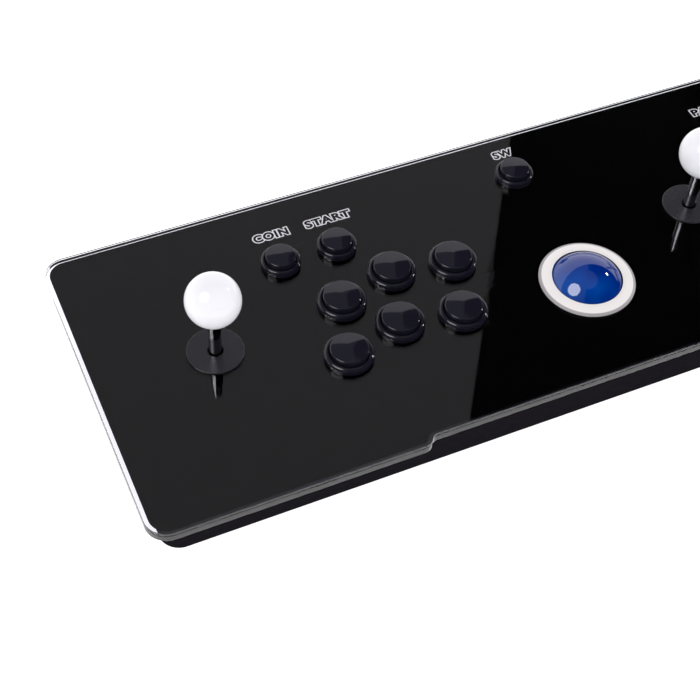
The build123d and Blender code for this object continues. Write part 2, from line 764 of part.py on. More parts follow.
def power_rocker():
    """Rocker with a dished face, at its off position."""
    half = rocker_half_height
    profile = [(-2.0, -half + 0.6), (-2.0, half - 0.6), (3.4, half), (1.9, 0), (3.4, -half)]
    face = Plane.YZ * make_face(Polyline(*profile, close=True))
    solid = extrude(face, rocker_width / 2, both=True)
    solid += rod_x(rocker_pin_radius, -rocker_width / 2 - 1.0, rocker_width / 2 + 1.0, 0, 0)
    return Pos(power_switch_x, rocker_pivot_y, power_switch_z) * Rot(-rocker_throw, 0, 0) * solid


# ---- values that join several parts ---------------------------------------------------------------
ring_sleeve_bottom_z = deck_top_z - ring_sleeve_in_deck
ring_sleeve_radius = max(
    math.sqrt((trackball_radius + ball_gap) ** 2 - (ring_sleeve_bottom_z - trackball_z) ** 2),
    ring_mouth_radius) + ring_sleeve_wall
switch_stem_reach = 1.5
thread_bottom_z = top_z + ball_top_above_panel - ball_top_radius + ball_top_flat
thread_top_z = thread_bottom_z + shaft_thread_length
stick_base_shelf_z = pivot_z - hub_height / 2 - 2.0
drop = math.radians(roller_drop_angle)
roller_centre_distance = trackball_radius + roller_contact_gap + roller_radius
roller_out = roller_centre_distance * math.cos(drop)
roller_z = trackball_z - roller_centre_distance * math.sin(drop)
idler_centre_distance = trackball_radius + roller_contact_gap + idler_radius
idler_out = idler_centre_distance * math.cos(drop) / math.sqrt(2)
idler_z = trackball_z - idler_centre_distance * math.sin(drop)
idler_post_out = idler_width / 2 + idler_post_gap + 3.0
housing_half = roller_out + roller_radius + housing_side_gap + housing_wall
housing_floor_z = trackball_z - trackball_radius - housing_floor_gap
power_switch_z = (deck_bottom_z + floor_top_z) / 2
power_body_half = rocker_half_height + 1.2 + switch_wall
power_body_width = rocker_width + 0.8 + 2 * switch_wall
rocker_pivot_y = case_back_y - 1.0


# ---- build and write every node -----------------------------------------------------------------
os.makedirs("parts", exist_ok=True)

save("cover_sheet", panel_layer(0, film_top_z, top_z))
save("artwork_film", panel_layer(film_margin, film_bottom_z, film_top_z))
save("light_plate", panel_layer(0, deck_top_z, film_bottom_z))
save("case_shell", case_shell())
save("bottom_cover", bottom_cover())
save("rubber_feet", copies(foot(), foot_places()))
save("machine_screws", machine_screws())
save("mounting_nuts", mounting_nuts())

action_sizes = (action_rim_radius, action_thread_radius, action_plunger_radius)
small_sizes = (small_rim_radius, small_thread_radius, small_plunger_radius)
save("action_button_bodies", copies(button_body(*action_sizes), action_buttons.values()))
save("small_button_bodies", copies(button_body(*small_sizes), small_buttons.values()))
nuts = [Pos(x, y, 0) * ring_nut(action_thread_radius) for x, y in action_buttons.values()]
nuts += [Pos(x, y, 0) * ring_nut(small_thread_radius) for x, y in small_buttons.values()]
save("button_nuts", Compound(children=nuts))
for name, (x, y) in action_buttons.items():
    save(f"{name}_plunger", Pos(x, y, 0) * button_plunger(action_plunger_radius))
for name, (x, y) in small_buttons.items():
    save(f"{name}_plunger", Pos(x, y, 0) * button_plunger(small_plunger_radius))
save("microswitches", microswitches())

for player, (x, y) in sticks.items():
    place = Pos(x, y, 0)
    save(f"{player}_ball_top", place * ball_top())
    save(f"{player}_shaft", place * stick_shaft())
    save(f"{player}_actuator", place * actuator())
    save(f"{player}_spring", place * stick_spring())
    save(f"{player}_gimbal_ring", place * gimbal_ring())
    save(f"{player}_seal_washer", place * seal_washer())
    save(f"{player}_dust_washer", place * dust_washer())
save("stick_bases", copies(stick_base(), sticks.values()))
save("gate_plates", copies(gate_plate(), sticks.values()))
save("stick_mounting_plates", copies(mounting_plate(), sticks.values()))

forward_place, side_place = roller_places()
save("trackball", Pos(0, trackball_y, trackball_z) * Sphere(trackball_radius))
save("trackball_ring", trackball_ring())
save("trackball_housing", trackball_housing())
save("forward_roller", forward_place * roller(encoder_disc_offset))
save("side_roller", side_place * roller(encoder_disc_offset))
save("idler_roller", idler_roller())
save("roller_bearings", roller_bearings())
save("encoder_board", encoder_board())

save("main_board", main_board())
save("video_socket", port_shell(video_x, video_port, 2.3))
save("usb_sockets", Compound(children=[port_shell(x, usb_port, 3.8) for x in usb_x]))
save("power_jack", power_jack())
save("power_switch", power_switch())
save("power_rocker", power_rocker())
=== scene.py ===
# %% [markdown]
# # A two-player arcade control panel
# A long flat steel box carries a stack of clear acrylic with a printed black film inside it.
# Two ball-top sticks, a row of push buttons for each player and a trackball come up through it.
# The solids that fasten and move were made beforehand, so this scene loads them as a fixed frame
# and gives each visible one a finer surface and a finish.

# %% Load the fixed frame
import json
import math

import bmesh
import bpy
import numpy as np
from mathutils import Matrix, Vector
from mathutils.geometry import tessellate_polygon


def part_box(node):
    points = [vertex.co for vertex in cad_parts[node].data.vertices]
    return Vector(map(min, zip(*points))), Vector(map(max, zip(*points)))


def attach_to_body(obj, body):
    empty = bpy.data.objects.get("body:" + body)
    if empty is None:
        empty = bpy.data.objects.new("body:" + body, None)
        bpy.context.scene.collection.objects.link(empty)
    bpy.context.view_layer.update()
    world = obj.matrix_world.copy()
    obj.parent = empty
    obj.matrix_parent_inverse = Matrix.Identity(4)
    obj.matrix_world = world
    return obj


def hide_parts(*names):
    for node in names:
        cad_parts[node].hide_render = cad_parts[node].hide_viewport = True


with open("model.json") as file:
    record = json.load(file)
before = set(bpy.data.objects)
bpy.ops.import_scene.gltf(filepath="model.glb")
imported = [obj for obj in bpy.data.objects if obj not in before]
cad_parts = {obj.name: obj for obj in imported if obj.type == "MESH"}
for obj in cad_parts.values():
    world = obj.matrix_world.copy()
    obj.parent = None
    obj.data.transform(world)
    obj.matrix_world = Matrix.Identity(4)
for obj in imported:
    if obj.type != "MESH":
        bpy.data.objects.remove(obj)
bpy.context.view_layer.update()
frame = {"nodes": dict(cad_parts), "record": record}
MM = 0.001

# %% [markdown]
# ## The camera
# The panel is seen from its front left corner, high up, through a short telephoto lens, so that
# the long front edge runs up to the right. The heading turns the camera from straight back
# towards the right end, the tilt looks down, and a small roll is left in because the camera was
# held by hand.

# %% Place the camera
CAMERA_PLACE = Vector((-419.2, -520.1, 761.6)) * MM
HEADING, TILT, ROLL = 26.875, 51.67, 3.985
camera_data = bpy.data.cameras.new("camera")
camera_data.sensor_width = 36.0
camera_data.lens = 72.58
camera = bpy.data.objects.new("camera", camera_data)
bpy.context.scene.collection.objects.link(camera)
turn = Matrix.Rotation(math.radians(-HEADING), 4, "Z")
turn @= Matrix.Rotation(math.radians(90 - TILT), 4, "X")
turn @= Matrix.Rotation(math.radians(ROLL), 4, "Z")
camera.matrix_world = Matrix.Translation(CAMERA_PLACE) @ turn
bpy.context.scene.camera = camera
bpy.context.scene.view_settings.view_transform = "Standard"

# %% [markdown]
# ## The studio
# Glossy black shows nothing but what it reflects, so the room around it is the real subject.
# The sky shader has two halves. Light that has already been scattered by a dull surface sees an
# even white room, which keeps shadows soft. A mirror or a camera sees the studio itself: a bright
# band behind the table, a grey card high up on the left, black cloth on the right, and a dim
# ceiling. The edge of the grey card is the sharp line that crosses the panel's gloss.

# %% A helper for node trees
def link_nodes(tree, *pairs):
    """Joins each (output, input) pair of sockets."""
    for output, target in pairs:
        tree.links.new(output, target)


def feed(tree, target, value):
    """Links a socket into an input, or sets the input's plain value."""
    if isinstance(value, bpy.types.NodeSocket):
        tree.links.new(value, target)
    else:
        target.default_value = value


def math_node(tree, operation, first, second):
    """A Math node; each operand is a number or a socket. Returns its output."""
    node = tree.nodes.new("ShaderNodeMath")
    node.operation = operation
    feed(tree, node.inputs[0], first)
    feed(tree, node.inputs[1], second)
    return node.outputs[0]


def mix_colour(tree, factor, first, second):
    """Colour from first to second as factor goes from 0 to 1; each is a triple or a socket."""
    node = tree.nodes.new("ShaderNodeMix")
    node.data_type = "RGBA"
    tree.links.new(factor, node.inputs["Factor"])
    for label, colour in (("A", first), ("B", second)):
        feed(tree, node.inputs[label], (*colour, 1) if isinstance(colour, tuple) else colour)
    return node.outputs["Result"]


def ramp_between(tree, value, start, end):
    """0 before start and 1 after end, with a smooth step between; start may be above end."""
    node = tree.nodes.new("ShaderNodeMapRange")
    node.interpolation_type = "SMOOTHSTEP"
    tree.links.new(value, node.inputs["Value"])
    node.inputs["From Min"].default_value = min(start, end)
    node.inputs["From Max"].default_value = max(start, end)
    node.inputs["To Min"].default_value = 0.0 if start < end else 1.0
    node.inputs["To Max"].default_value = 1.0 if start < end else 0.0
    return node.outputs["Result"]


def plane_side(tree, direction, normal):
    """Which side of a plane through the viewer a direction points to: its dot product."""
    node = tree.nodes.new("ShaderNodeVectorMath")
    node.operation = "DOT_PRODUCT"
    tree.links.new(direction, node.inputs[0])
    node.inputs[1].default_value = normal
    return node.outputs["Value"]


# %% The room as a mirror sees it
ROOM_LIGHT = 1.05                # even light for dull surfaces
BAND_EDGE = Vector((0.0, 0.7375, -0.6753))       # normal of the plane through the band's top edge
BAND_LIGHT = 1.25
CARD_LIGHT = 0.235
CARD_EDGE = Vector((0.8346, -0.5502, -0.0258))   # normal of the plane through the card's edge
BAND_SOFT, CARD_SOFT = 0.002, 0.0008             # half width of the two soft edges
CEILING_START = (60.0, 66.0)
CEILING_LIGHT = 0.28
ROOM_TINT, STUDIO_TINT = (1.0, 1.0, 1.02, 1.0), (1.0, 0.985, 1.03, 1.0)


def build_room():
    world = bpy.data.worlds.new("studio")
    bpy.context.scene.world = world
    world.use_nodes = True
    tree = world.node_tree
    tree.nodes.clear()
    direction = tree.nodes.new("ShaderNodeTexCoord").outputs["Generated"]
    split = tree.nodes.new("ShaderNodeSeparateXYZ")
    tree.links.new(direction, split.inputs[0])
    height = split.outputs["Z"]
    ceiling = ramp_between(tree, height, *(math.sin(math.radians(a)) for a in CEILING_START))
    band = ramp_between(tree, plane_side(tree, direction, BAND_EDGE), -BAND_SOFT, BAND_SOFT)
    card = ramp_between(tree, plane_side(tree, direction, CARD_EDGE), CARD_SOFT, -CARD_SOFT)
    seen = math_node(tree, "MAXIMUM", math_node(tree, "MULTIPLY", band, BAND_LIGHT),
                     math_node(tree, "MULTIPLY", card, CARD_LIGHT))
    seen = math_node(tree, "MAXIMUM", seen, math_node(tree, "MULTIPLY", ceiling, CEILING_LIGHT))
    path = tree.nodes.new("ShaderNodeLightPath")
    mirrored = math_node(tree, "MAXIMUM", path.outputs["Is Camera Ray"],
                         path.outputs["Is Glossy Ray"])
    first = math_node(tree, "LESS_THAN", path.outputs["Diffuse Depth"], 0.5)
    studio = math_node(tree, "MULTIPLY", mirrored, first)
    rooms = []
    for colour, strength in ((ROOM_TINT, ROOM_LIGHT), (STUDIO_TINT, seen)):
        room = tree.nodes.new("ShaderNodeBackground")
        room.inputs["Color"].default_value = colour
        feed(tree, room.inputs["Strength"], strength)
        rooms.append(room.outputs[0])
    mix = tree.nodes.new("ShaderNodeMixShader")
    output = tree.nodes.new("ShaderNodeOutputWorld")
    link_nodes(tree, (studio, mix.inputs[0]), (rooms[0], mix.inputs[1]), (rooms[1], mix.inputs[2]),
               (mix.outputs[0], output.inputs["Surface"]))


build_room()

# %% [markdown]
# ## Two lamps
# A round softbox stands at the left and throws the curved highlight on every button rim and the
# pale disc on the trackball. A small bare lamp at the right makes the sharp sparkles.

# %% Hang the lamps
def disc_lamp(name, height, azimuth, distance, radius, watts):
    """A round lamp aimed at the panel's middle. Azimuth counts from straight back to the right.
    It shows in gloss only: dull surfaces take their light from the even room."""
    lamp = bpy.data.lights.new(name, "AREA")
    lamp.shape = "DISK"
    lamp.size = 2 * radius
    lamp.energy = watts
    lift, swing = math.radians(height), math.radians(azimuth)
    flat = math.cos(lift)
    away = Vector((flat * math.sin(swing), flat * math.cos(swing), math.sin(lift)))
    aim = away.to_track_quat("Z", "Y").to_matrix().to_4x4()
    holder = bpy.data.objects.new(name, lamp)
    holder.matrix_world = Matrix.Translation(away * distance) @ aim
    holder.visible_camera = False
    holder.visible_diffuse = False
    bpy.context.scene.collection.objects.link(holder)


disc_lamp("round_softbox", 48.0, -101.0, 1.9, 0.55, 24.0)
disc_lamp("bare_lamp", 33.0, 84.0, 2.2, 0.10, 9.0)

# %% [markdown]
# ## The floor
# Product tables are sheets of white plastic lit from below. A little glow in the floor does the
# same: the shadow under the panel stays, but it is faint.

# %% Lay the floor
FLOOR_HALF = 4.0                 # metres
FLOOR_GREY, FLOOR_GLOW = 0.86, 0.8


def build_floor():
    material = bpy.data.materials.new("white_table")
    material.use_nodes = True
    shader = material.node_tree.nodes["Principled BSDF"]
    shader.inputs["Base Color"].default_value = (FLOOR_GREY, FLOOR_GREY, FLOOR_GREY, 1)
    shader.inputs["Roughness"].default_value = 0.9
    shader.inputs["Specular IOR Level"].default_value = 0.0
    shader.inputs["Emission Color"].default_value = (1, 1, 1, 1)
    shader.inputs["Emission Strength"].default_value = FLOOR_GLOW
    mesh = bpy.data.meshes.new("floor")
    sides = ((-1, -1), (1, -1), (1, 1), (-1, 1))
    corners = [(x * FLOOR_HALF, y * FLOOR_HALF, 0) for x, y in sides]
    mesh.from_pydata(corners, [], [(0, 1, 2, 3)])
    mesh.materials.append(material)
    floor = bpy.data.objects.new("floor", mesh)
    bpy.context.scene.collection.objects.link(floor)


build_floor()

# %% [markdown]
# ## Shared effects as node groups
# Three effects come back in many finishes. Each is built once as a group of nodes that puts out
# plain values, and every material sets its own strength: a fine skin of bumps, a film of handling
# marks that changes the gloss, and wear that brightens edges.

# %% Build the groups
def new_group(name, inputs, outputs):
    """An empty shader node group with float inputs (name, default) and typed outputs."""
    group = bpy.data.node_groups.new(name, "ShaderNodeTree")
    for label, value in inputs:
        socket = group.interface.new_socket(label, in_out="INPUT", socket_type="NodeSocketFloat")
        socket.default_value = value
    for label, kind in outputs:
        group.interface.new_socket(label, in_out="OUTPUT", socket_type=kind)
    values = group.nodes.new("NodeGroupInput").outputs
    return group, values, group.nodes.new("NodeGroupOutput").inputs


def object_noise(tree, scale, detail=3.0):
    """Noise over the piece's own coordinates; scale is a number or a socket. Returns its value."""
    place = tree.nodes.new("ShaderNodeTexCoord").outputs["Object"]
    noise = tree.nodes.new("ShaderNodeTexNoise")
    noise.inputs["Detail"].default_value = detail
    tree.links.new(place, noise.inputs["Vector"])
    feed(tree, noise.inputs["Scale"], scale)
    return noise.outputs["Fac"]


def skin_group():
    """Fine bumps, such as orange peel or a moulded texture: Height in metres."""
    group, values, out = new_group("fine_skin", [("Scale", 900.0), ("Depth", 0.00002)],
                                   [("Height", "NodeSocketFloat")])
    grain = object_noise(group, values["Scale"], 2.0)
    group.links.new(math_node(group, "MULTIPLY", grain, values["Depth"]), out["Height"])
    return group


def marks_group():
    """Finger marks and fine dust: Roughness rises in soft patches and in specks."""
    group, values, out = new_group("handling_marks", [("Roughness", 0.2), ("Amount", 0.05)],
                                   [("Roughness", "NodeSocketFloat")])
    patches = ramp_between(group, object_noise(group, 38.0), 0.45, 0.75)
    specks = ramp_between(group, object_noise(group, 1400.0, 1.0), 0.66, 0.72)
    both = math_node(group, "ADD", patches, specks)
    rise = math_node(group, "MULTIPLY", both, values["Amount"])
    group.links.new(math_node(group, "ADD", rise, values["Roughness"]), out["Roughness"])
    return group


def wear_group():
    """A mask that is 1 on rubbed outer edges, broken up by noise."""
    group, values, out = new_group("edge_wear", [("Start", 0.53), ("Width", 0.04)],
                                   [("Mask", "NodeSocketFloat")])
    edge = group.nodes.new("ShaderNodeNewGeometry").outputs["Pointiness"]
    above = math_node(group, "SUBTRACT", edge, values["Start"])
    share = math_node(group, "DIVIDE", above, values["Width"])
    broken = ramp_between(group, object_noise(group, 220.0), 0.35, 0.7)
    mask = math_node(group, "MULTIPLY", share, broken)
    clamp = group.nodes.new("ShaderNodeClamp")
    group.links.new(mask, clamp.inputs[0])
    group.links.new(clamp.outputs[0], out["Mask"])
    return group


FINE_SKIN, HANDLING_MARKS, EDGE_WEAR = skin_group(), marks_group(), wear_group()

# %% [markdown]
# ## A finish in one call
# Most finishes here are the same recipe with other numbers: a colour that drifts a little, a
# gloss with handling marks, a skin of bumps and some worn edges. One function builds the recipe.

# %% The recipe
def use_group(tree, group, **values):
    """A node for the group with its inputs set. Returns the node's outputs."""
    node = tree.nodes.new("ShaderNodeGroup")
    node.node_tree = group
    for label, value in values.items():
        node.inputs[label].default_value = value
    return node.outputs


def finish(name, colour, roughness, drift=0.0, drift_scale=60.0, marks=0.03, skin=(900.0, 0.0),
           wear=None, **plain):
    """A Principled material. drift darkens the colour in soft patches, skin is (scale, depth in
    metres), wear is (colour, start, width), and plain sets other sockets by name, spaces as _."""
    material = bpy.data.materials.new(name)
    material.use_nodes = True
    tree = material.node_tree
    shader = tree.nodes["Principled BSDF"]
    for label, value in plain.items():
        shader.inputs[label.replace("_", " ")].default_value = value
    darker = tuple(c * (1 - drift) for c in colour)
    result = mix_colour(tree, object_noise(tree, drift_scale), colour, darker)
    if wear:
        worn, start, width = wear
        edge = use_group(tree, EDGE_WEAR, Start=start, Width=width)
        result = mix_colour(tree, edge["Mask"], result, worn)
    tree.links.new(result, shader.inputs["Base Color"])
    handling = use_group(tree, HANDLING_MARKS, Roughness=roughness, Amount=marks)
    tree.links.new(handling["Roughness"], shader.inputs["Roughness"])
    scale, depth = skin
    if depth:
        grain = use_group(tree, FINE_SKIN, Scale=scale, Depth=depth)
        bump = tree.nodes.new("ShaderNodeBump")
        bump.inputs["Distance"].default_value = 1.0
        link_nodes(tree, (grain["Height"], bump.inputs["Height"]),
                   (bump.outputs["Normal"], shader.inputs["Normal"]))
    return material


# %% [markdown]
# ## The finishes
# The names are the ones that the parts list gives to each material. Gloss black plastic is the
# button moulding, black powder coat the steel case, and so on. The trackball's resin gets its own
# cloud of lighter blue below a clear coat.

# %% Mix them
finishes = {
    "clear_acrylic": finish("clear_acrylic", (0.95, 0.945, 0.975), 0.0, marks=0.004,
                            Transmission_Weight=1.0, IOR=1.49),
    "black_film": finish("black_film", (0.0004, 0.0004, 0.0004), 0.5, drift=0.3, marks=0.02,
                         Specular_IOR_Level=0.02),
    "black_powder_coat": finish("black_powder_coat", (0.0095, 0.0085, 0.0115), 0.55, drift=0.2,
                                skin=(1100.0, 0.000016), wear=((0.012, 0.012, 0.013), 0.56, 0.08),
                                Specular_IOR_Level=0.0),
    "zinc_steel": finish("zinc_steel", (0.62, 0.61, 0.57), 0.34, drift=0.25, drift_scale=140.0,
                         Metallic=1.0),
    "black_steel": finish("black_steel", (0.40, 0.39, 0.42), 0.1, drift=0.15, Metallic=1.0),
    "spring_steel": finish("spring_steel", (0.5, 0.49, 0.47), 0.25, drift=0.3, Metallic=1.0),
    "gloss_black_plastic": finish("gloss_black_plastic", (0.010, 0.0095, 0.017), 0.05, drift=0.3,
                                  skin=(90.0, 0.000012), wear=((0.03, 0.03, 0.04), 0.56, 0.1),
                                  marks=0.03, IOR=1.5, Specular_IOR_Level=0.35),
    "matte_black_plastic": finish("matte_black_plastic", (0.02, 0.02, 0.022), 0.5, drift=0.2,
                                  skin=(1600.0, 0.00002)),
    "dark_grey_plastic": finish("dark_grey_plastic", (0.022, 0.022, 0.028), 0.26, drift=0.25,
                                skin=(1500.0, 0.000006), Specular_IOR_Level=0.35),
    "white_plastic": finish("white_plastic", (0.87, 0.865, 0.895), 0.09, drift=0.02, marks=0.02,
                            Specular_IOR_Level=0.25),
    "ivory_plastic": finish("ivory_plastic", (0.86, 0.82, 0.80), 0.42, drift=0.04,
                            skin=(1300.0, 0.000008), wear=((0.84, 0.82, 0.80), 0.56, 0.1)),
    "natural_nylon": finish("natural_nylon", (0.75, 0.73, 0.66), 0.45, drift=0.06),
    "rubber": finish("rubber", (0.018, 0.018, 0.018), 0.7, drift=0.3, skin=(1200.0, 0.00003)),
    "circuit_board": finish("circuit_board", (0.01, 0.09, 0.03), 0.35, drift=0.3,
                            drift_scale=400.0),
    "socket_metal": finish("socket_metal", (0.6, 0.6, 0.6), 0.28, drift=0.15, Metallic=1.0),
    "label_white": finish("label_white", (0.9, 0.9, 0.9), 0.4, drift=0.02),
}


RESIN_DEEP, RESIN_LIGHT = (0.0, 0.018, 0.19), (0.0, 0.075, 0.38)


def blue_resin():
    """Deep blue resin: two blues mixed by a large cloud, more of the dark one at grazing angles."""
    material = finish("blue_resin", (0.0, 0.028, 0.27), 0.04, marks=0.02, Coat_Weight=0.25,
                      Coat_Roughness=0.02, IOR=1.5)
    tree = material.node_tree
    shader = tree.nodes["Principled BSDF"]
    cloud = ramp_between(tree, object_noise(tree, 32.0, 1.5), 0.35, 0.7)
    facing = tree.nodes.new("ShaderNodeLayerWeight")
    facing.inputs["Blend"].default_value = 0.45
    centre = math_node(tree, "SUBTRACT", 1.0, facing.outputs["Facing"])
    share = math_node(tree, "MULTIPLY", cloud, centre)
    colour = mix_colour(tree, share, RESIN_DEEP, RESIN_LIGHT)
    tree.links.new(colour, shader.inputs["Base Color"])
    return material


finishes["blue_resin"] = blue_resin()
print("finishes", len(finishes))

# %% [markdown]
# ## Curves with rounded corners
# Nearly every shape here starts as a short list of corners with a radius at each. The corner is
# cut back along both sides and an arc is put in. The same function draws the panel's outline and
# the cross-sections that are turned on a lathe.

# %% Round a path's corners
def rounded_path(corners, radii, closed=True, step=8.0):
    """Points of a polygon whose corners are arcs. At a corner with directions a in and b out, the
    arc starts radius * tan(turn / 2) before it, and its points turn the start normal in steps."""
    corners = np.array(corners, float)
    count = len(corners)
    points = []
    for i, radius in enumerate(radii):
        here = corners[i]
        if radius <= 0 or (not closed and i in (0, count - 1)):
            points.append(here[None])
            continue
        a = here - corners[i - 1]
        b = corners[(i + 1) % count] - here
        a, b = a / np.linalg.norm(a), b / np.linalg.norm(b)
        bend = math.atan2(a[0] * b[1] - a[1] * b[0], a @ b)
        start = here - a * radius * math.tan(abs(bend) / 2)
        side = math.copysign(1, bend)
        normal = np.array([a[1], -a[0]]) * side
        centre = start - normal * radius
        angles = np.linspace(0, bend, max(2, int(abs(math.degrees(bend)) / step) + 2))
        cos, sin = np.cos(angles), np.sin(angles)
        points.append(centre + radius * np.stack([normal[0] * cos - normal[1] * sin,
                                                  normal[0] * sin + normal[1] * cos], 1))
    return np.concatenate(points)


# %% [markdown]
# ## From arrays to a piece
# A grid of points becomes a mesh in one step. Doubled points, such as the pole of a turned shape,
# are merged, the faces are made to point outwards, and only real edges are left sharp.

# %% Mesh helpers
def grid_quads(rows, columns, closed_rows=False, closed_columns=False):
    """Corner indices of the quads between neighbouring rows and columns of a grid."""
    index = np.arange(rows * columns).reshape(rows, columns)
    if closed_rows:
        index = np.concatenate([index, index[:1]])
    if closed_columns:
        index = np.concatenate([index, index[:, :1]], 1)
    quads = [index[:-1, :-1], index[1:, :-1], index[1:, 1:], index[:-1, 1:]]
    return np.stack(quads, -1).reshape(-1, 4)


def piece(name, points, faces, body, slot, replaces, sharp=32.0, tidy=True):
    """Makes the mesh object in millimetres, gives it its finish and ties it to its body."""
    mesh = bpy.data.meshes.new(name)
    mesh.from_pydata((np.asarray(points) * MM).tolist(), [], [list(face) for face in faces])
    if tidy:
        shape = bmesh.new()
        shape.from_mesh(mesh)
        bmesh.ops.remove_doubles(shape, verts=shape.verts, dist=2e-7)
        bmesh.ops.dissolve_degenerate(shape, edges=shape.edges, dist=1e-8)
        bmesh.ops.recalc_face_normals(shape, faces=shape.faces)
        shape.to_mesh(mesh)
        shape.free()
    return attach(name, mesh, body, slot, replaces, sharp)


def attach(name, mesh, body, slot, replaces, sharp=32.0):
    """Smooth shading with sharp edges above an angle, then finish, body, slot and stand-in. Normals
    are weighted by face area, so that a big flat face stays flat beside a small round."""
    mesh.polygons.foreach_set("use_smooth", np.ones(len(mesh.polygons), bool))
    mesh.set_sharp_from_angle(angle=math.radians(sharp))
    mesh.materials.clear()
    mesh.materials.append(finishes[slot])
    made = bpy.data.objects.new(name, mesh)
    bpy.context.scene.collection.objects.link(made)
    weighted = made.modifiers.new("flat_faces_stay_flat", "WEIGHTED_NORMAL")
    weighted.keep_sharp = True
    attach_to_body(made, body)
    if replaces:
        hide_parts(*replaces)
    return made


def lathe(profile, centres, segments=96, closed=False):
    """Points and quads of a profile of (radius, height) turned about Z at each (x, y, z) centre:
    x = radius cos(angle), y = radius sin(angle), z = height."""
    profile = np.asarray(profile, float)
    angle = np.linspace(0, 2 * math.pi, segments, endpoint=False)
    ring = np.stack([np.cos(angle), np.sin(angle)], 1)
    flat = profile[:, None, :1] * ring[None]
    height = np.broadcast_to(profile[:, None, 1:], (len(profile), segments, 1))
    one = np.concatenate([flat, height], 2).reshape(-1, 3)
    quads = grid_quads(len(profile), segments, closed_rows=closed, closed_columns=True)
    points = np.concatenate([one + np.asarray(centre, float) for centre in centres])
    faces = np.concatenate([quads + i * len(one) for i in range(len(centres))])
    return points, faces


# %% [markdown]
# ## Where things are
# The frame knows each part's box, so the middle of a plunger's box is the middle of its button.
# Heights and radii are read off the boxes too, in millimetres.

# %% Read the frame
def span(node):
    """Lowest and highest corner of a CAD node in millimetres."""
    low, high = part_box(node)
    return np.array(low) / MM, np.array(high) / MM


def middle(node):
    low, high = span(node)
    return (low[:2] + high[:2]) / 2


players = ("p1", "p2")
action_names = [f"{player}_{number}" for player in players for number in range(1, 7)]
small_names = ["menu", "p1_coin", "p1_start", "p2_pause", "p2_start"]
button_places = {name: middle(f"{name}_plunger") for name in action_names + small_names}
stick_places = {player: middle(f"{player}_ball_top") for player in players}
panel_low, panel_high = span("cover_sheet")
top_z = panel_high[2]
film_low, film_high = span("artwork_film")
plate_low, plate_high = span("light_plate")
ball_low, ball_high = span("trackball")
ball_radius = (ball_high[2] - ball_low[2]) / 2
ball_z = ball_high[2] - ball_radius
ball_y = middle("trackball")[1]
print("top at", round(top_z, 2), "mm,", len(button_places), "buttons")

# %% [markdown]
# ## The acrylic stack
# A 2 mm cover and a 5 mm light plate share one outline: a rounded rectangle whose front steps
# back between two wings. Laser-cut edges are flame-polished, so each gets a small round. A plate
# is made as rings: the outline, and each hole, is repeated at several heights and insets, and the
# top and bottom are filled between the last rings.

# %% Outline and plates
CORNER_RADIUS, STEP_RADIUS, STEP_ANGLE = 14.5, 6.0, 55.0
RECESS_DEPTH, RECESS_FROM_END = 6.0, 179.0


def panel_outline(inset):
    """The panel's outline, moved inwards by inset, as points counter-clockwise."""
    end, front, back = panel_high[0] - inset, panel_low[1] + inset, panel_high[1] - inset
    run = RECESS_DEPTH / math.tan(math.radians(STEP_ANGLE))
    shift = inset * math.tan(math.radians(STEP_ANGLE / 2))
    wing = panel_high[0] - RECESS_FROM_END + run / 2 + shift
    inner = panel_high[0] - RECESS_FROM_END - run / 2 + shift
    corners = [(-end, front), (-wing, front), (-inner, front + RECESS_DEPTH),
               (inner, front + RECESS_DEPTH), (wing, front), (end, front), (end, back),
               (-end, back)]
    round_out, round_in = STEP_RADIUS - inset, STEP_RADIUS + inset
    corner = CORNER_RADIUS - inset
    radii = [corner, round_out, round_in, round_in, round_out, corner, corner, corner]
    return rounded_path(corners, radii, step=4.0)


def circle(x, y, radius, segments=64):
    angle = np.linspace(0, 2 * math.pi, segments, endpoint=False)
    return np.stack([x + radius * np.cos(angle), y + radius * np.sin(angle)], 1)


def plate(name, inset, low, high, edge, holes, slot, replaces):
    """A flat plate whose edges are quarter arcs of radius edge. At angle t on an arc, a loop lies
    edge (1 - cos t) inside the face's height and edge (1 - sin t) into the material. Holes are
    (x, y, radius)."""
    quarter = np.linspace(0, math.pi / 2, 4)
    into = edge * (1 - np.sin(quarter))
    rise = edge * (1 - np.cos(quarter))
    insets = np.concatenate([into, into[::-1]])
    heights = np.concatenate([low + rise, high - rise[::-1]])
    loops = [lambda d: panel_outline(inset + d)]
    loops += [lambda d, hole=hole: circle(hole[0], hole[1], hole[2] + d) for hole in holes]
    points, faces, rims, first = [], [], [], 0
    for loop in loops:
        rings = [np.column_stack([loop(d), np.full(len(loop(d)), z)])
                 for d, z in zip(insets, heights)]
        size = len(rings[0])
        points += rings
        faces.append(grid_quads(len(rings), size, closed_columns=True) + first)
        rims.append((first, size))
        first += size * len(rings)
    points = np.concatenate(points)
    faces = [tuple(face) for block in faces for face in block.tolist()]
    for ring in (0, len(insets) - 1):
        ids = [np.arange(start + ring * size, start + (ring + 1) * size) for start, size in rims]
        flat = np.concatenate(ids)
        triangles = tessellate_polygon([[Vector(points[i]) for i in loop_ids] for loop_ids in ids])
        faces += [tuple(int(flat[i]) for i in triangle) for triangle in triangles]
    return piece(name, points, faces, "console", slot, replaces)


# %% The holes
ACTION_HOLE, SMALL_HOLE, STICK_HOLE = 15.1, 12.2, 13.0
ring_low, ring_high = span("trackball_ring")
ring_radius = (ring_high[0] - ring_low[0]) / 2
SLEEVE_RADIUS = 29.7
HOLE_GAP = 0.3                   # between a hole's wall and what passes through it
holes = [(*button_places[name], ACTION_HOLE) for name in action_names]
holes += [(*button_places[name], SMALL_HOLE) for name in small_names]
holes += [(*place, STICK_HOLE) for place in stick_places.values()]
holes.append((0.0, ball_y, SLEEVE_RADIUS + HOLE_GAP))

